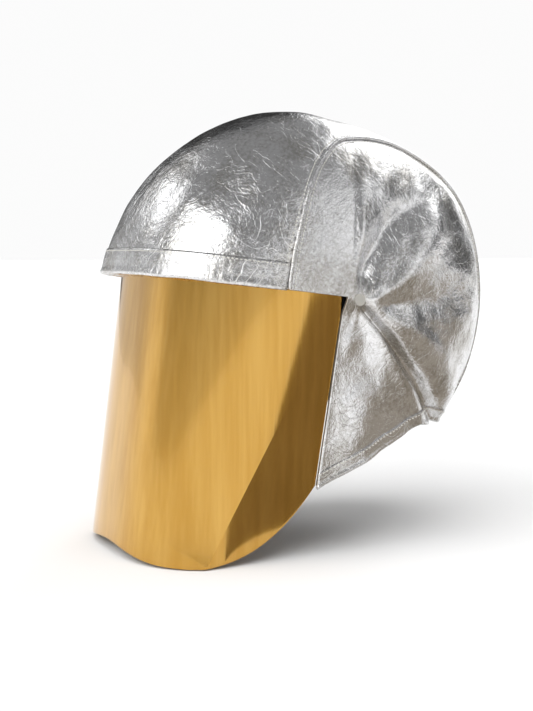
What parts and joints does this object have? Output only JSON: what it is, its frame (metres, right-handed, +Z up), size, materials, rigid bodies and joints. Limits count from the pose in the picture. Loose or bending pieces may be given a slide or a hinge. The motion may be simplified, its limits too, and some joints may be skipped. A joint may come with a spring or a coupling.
{
  "type": "face shield",
  "caption": "Tilting face shield with a curved gold-coated window, a crown guard and a heat-reflecting fabric hood over an adjustable ratchet headband.",
  "frame": {"origin": "centre of the headband ring at mid height, which is the centre of the head mount", "axes": "+X towards the wearer's left, +Y towards the back of the head, +Z up"},
  "size_m": [0.2226, 0.3267, 0.3443],
  "materials": {
    "band_plastic": "moulded nylon, fine satin",
    "guard_plastic": "moulded heat-resistant nylon, satin",
    "knob_plastic": "moulded, fine grain",
    "sweat_pad": "soft brushed cloth over foam",
    "gold_window": "mirror-like gold coating on clear sheet",
    "zinc_steel": "zinc plated",
    "washer_fibre": "pressed fibre",
    "hood_fabric": "aluminised cloth, bright and lightly crinkled",
    "lining_fabric": "plain woven heat-resistant cloth",
    "hook_loop": "woven hook and loop tape"
  },
  "bodies": {
    "headgear": {"bracket_rivets": "zinc_steel", "brow_pad": "sweat_pad", "crown_strap_left": "band_plastic", "crown_strap_peg": "knob_plastic", "crown_strap_right": "band_plastic", "detent_spring": "zinc_steel", "friction_washer_left": "washer_fibre", "friction_washer_right": "washer_fibre", "headband": "band_plastic", "housing_screws": "zinc_steel", "nape_pad": "sweat_pad", "pivot_bolt_left": "zinc_steel", "pivot_bolt_right": "zinc_steel", "pivot_bracket_left": "guard_plastic", "pivot_bracket_right": "guard_plastic", "ratchet_cover": "band_plastic", "ratchet_housing": "band_plastic", "spring_washer_left": "zinc_steel", "spring_washer_right": "zinc_steel", "strap_rivets": "zinc_steel"},
    "shield": {"crown_guard": "guard_plastic", "window": "gold_window", "window_rim": "zinc_steel", "rim_screws": "zinc_steel", "rim_nuts": "zinc_steel", "crown_panel": "hood_fabric", "crown_lining": "lining_fabric", "side_panel_left": "hood_fabric", "side_panel_right": "hood_fabric", "side_lining_left": "lining_fabric", "side_lining_right": "lining_fabric", "brow_hem": "hood_fabric", "neck_hem": "hood_fabric", "seam_piping_left": "hood_fabric", "seam_piping_right": "hood_fabric", "temple_rivet_left": "zinc_steel", "temple_rivet_right": "zinc_steel", "hook_strip": "hook_loop", "loop_strip": "hook_loop"},
    "ratchet": {"ratchet_knob": "knob_plastic", "ratchet_pinion": "knob_plastic", "knob_screw": "zinc_steel"},
    "rack_left": {"rack_left": "band_plastic"},
    "rack_right": {"rack_right": "band_plastic"},
    "pivot_knob_left": {"pivot_knob_left": "knob_plastic"},
    "pivot_knob_right": {"pivot_knob_right": "knob_plastic"}
  },
  "joints": [
    {"name": "shield_tilt", "type": "hinge", "parent": "headgear", "child": "shield", "pos_m": [0, -0.014, 0.002], "axis": [-1, 0, 0], "range_deg": [0, 55]},
    {"name": "ratchet_turn", "type": "hinge", "parent": "headgear", "child": "ratchet", "pos_m": [0, 0.107, 0], "axis": [0, 1, 0], "range_deg": [-180, 180]},
    {"name": "rack_left_slide", "type": "hinge", "parent": "headgear", "child": "rack_left", "pos_m": [0, 0.02, 0], "axis": [0, 0, 1], "range_deg": [-7.75, 7.75]},
    {"name": "rack_right_slide", "type": "hinge", "parent": "headgear", "child": "rack_right", "pos_m": [0, 0.02, 0], "axis": [0, 0, 1], "range_deg": [-7.75, 7.75]},
    {"name": "pivot_knob_left_turn", "type": "hinge", "parent": "headgear", "child": "pivot_knob_left", "pos_m": [0.097, -0.014, 0.002], "axis": [1, 0, 0], "range_deg": [-90, 90]},
    {"name": "pivot_knob_right_turn", "type": "hinge", "parent": "headgear", "child": "pivot_knob_right", "pos_m": [-0.097, -0.014, 0.002], "axis": [-1, 0, 0], "range_deg": [-90, 90]}
  ],
  "couplings": [
    {"joint": "rack_left_slide", "follows": "ratchet_turn", "ratio": -0.04296},
    {"joint": "rack_right_slide", "follows": "ratchet_turn", "ratio": 0.04296}
  ]
}
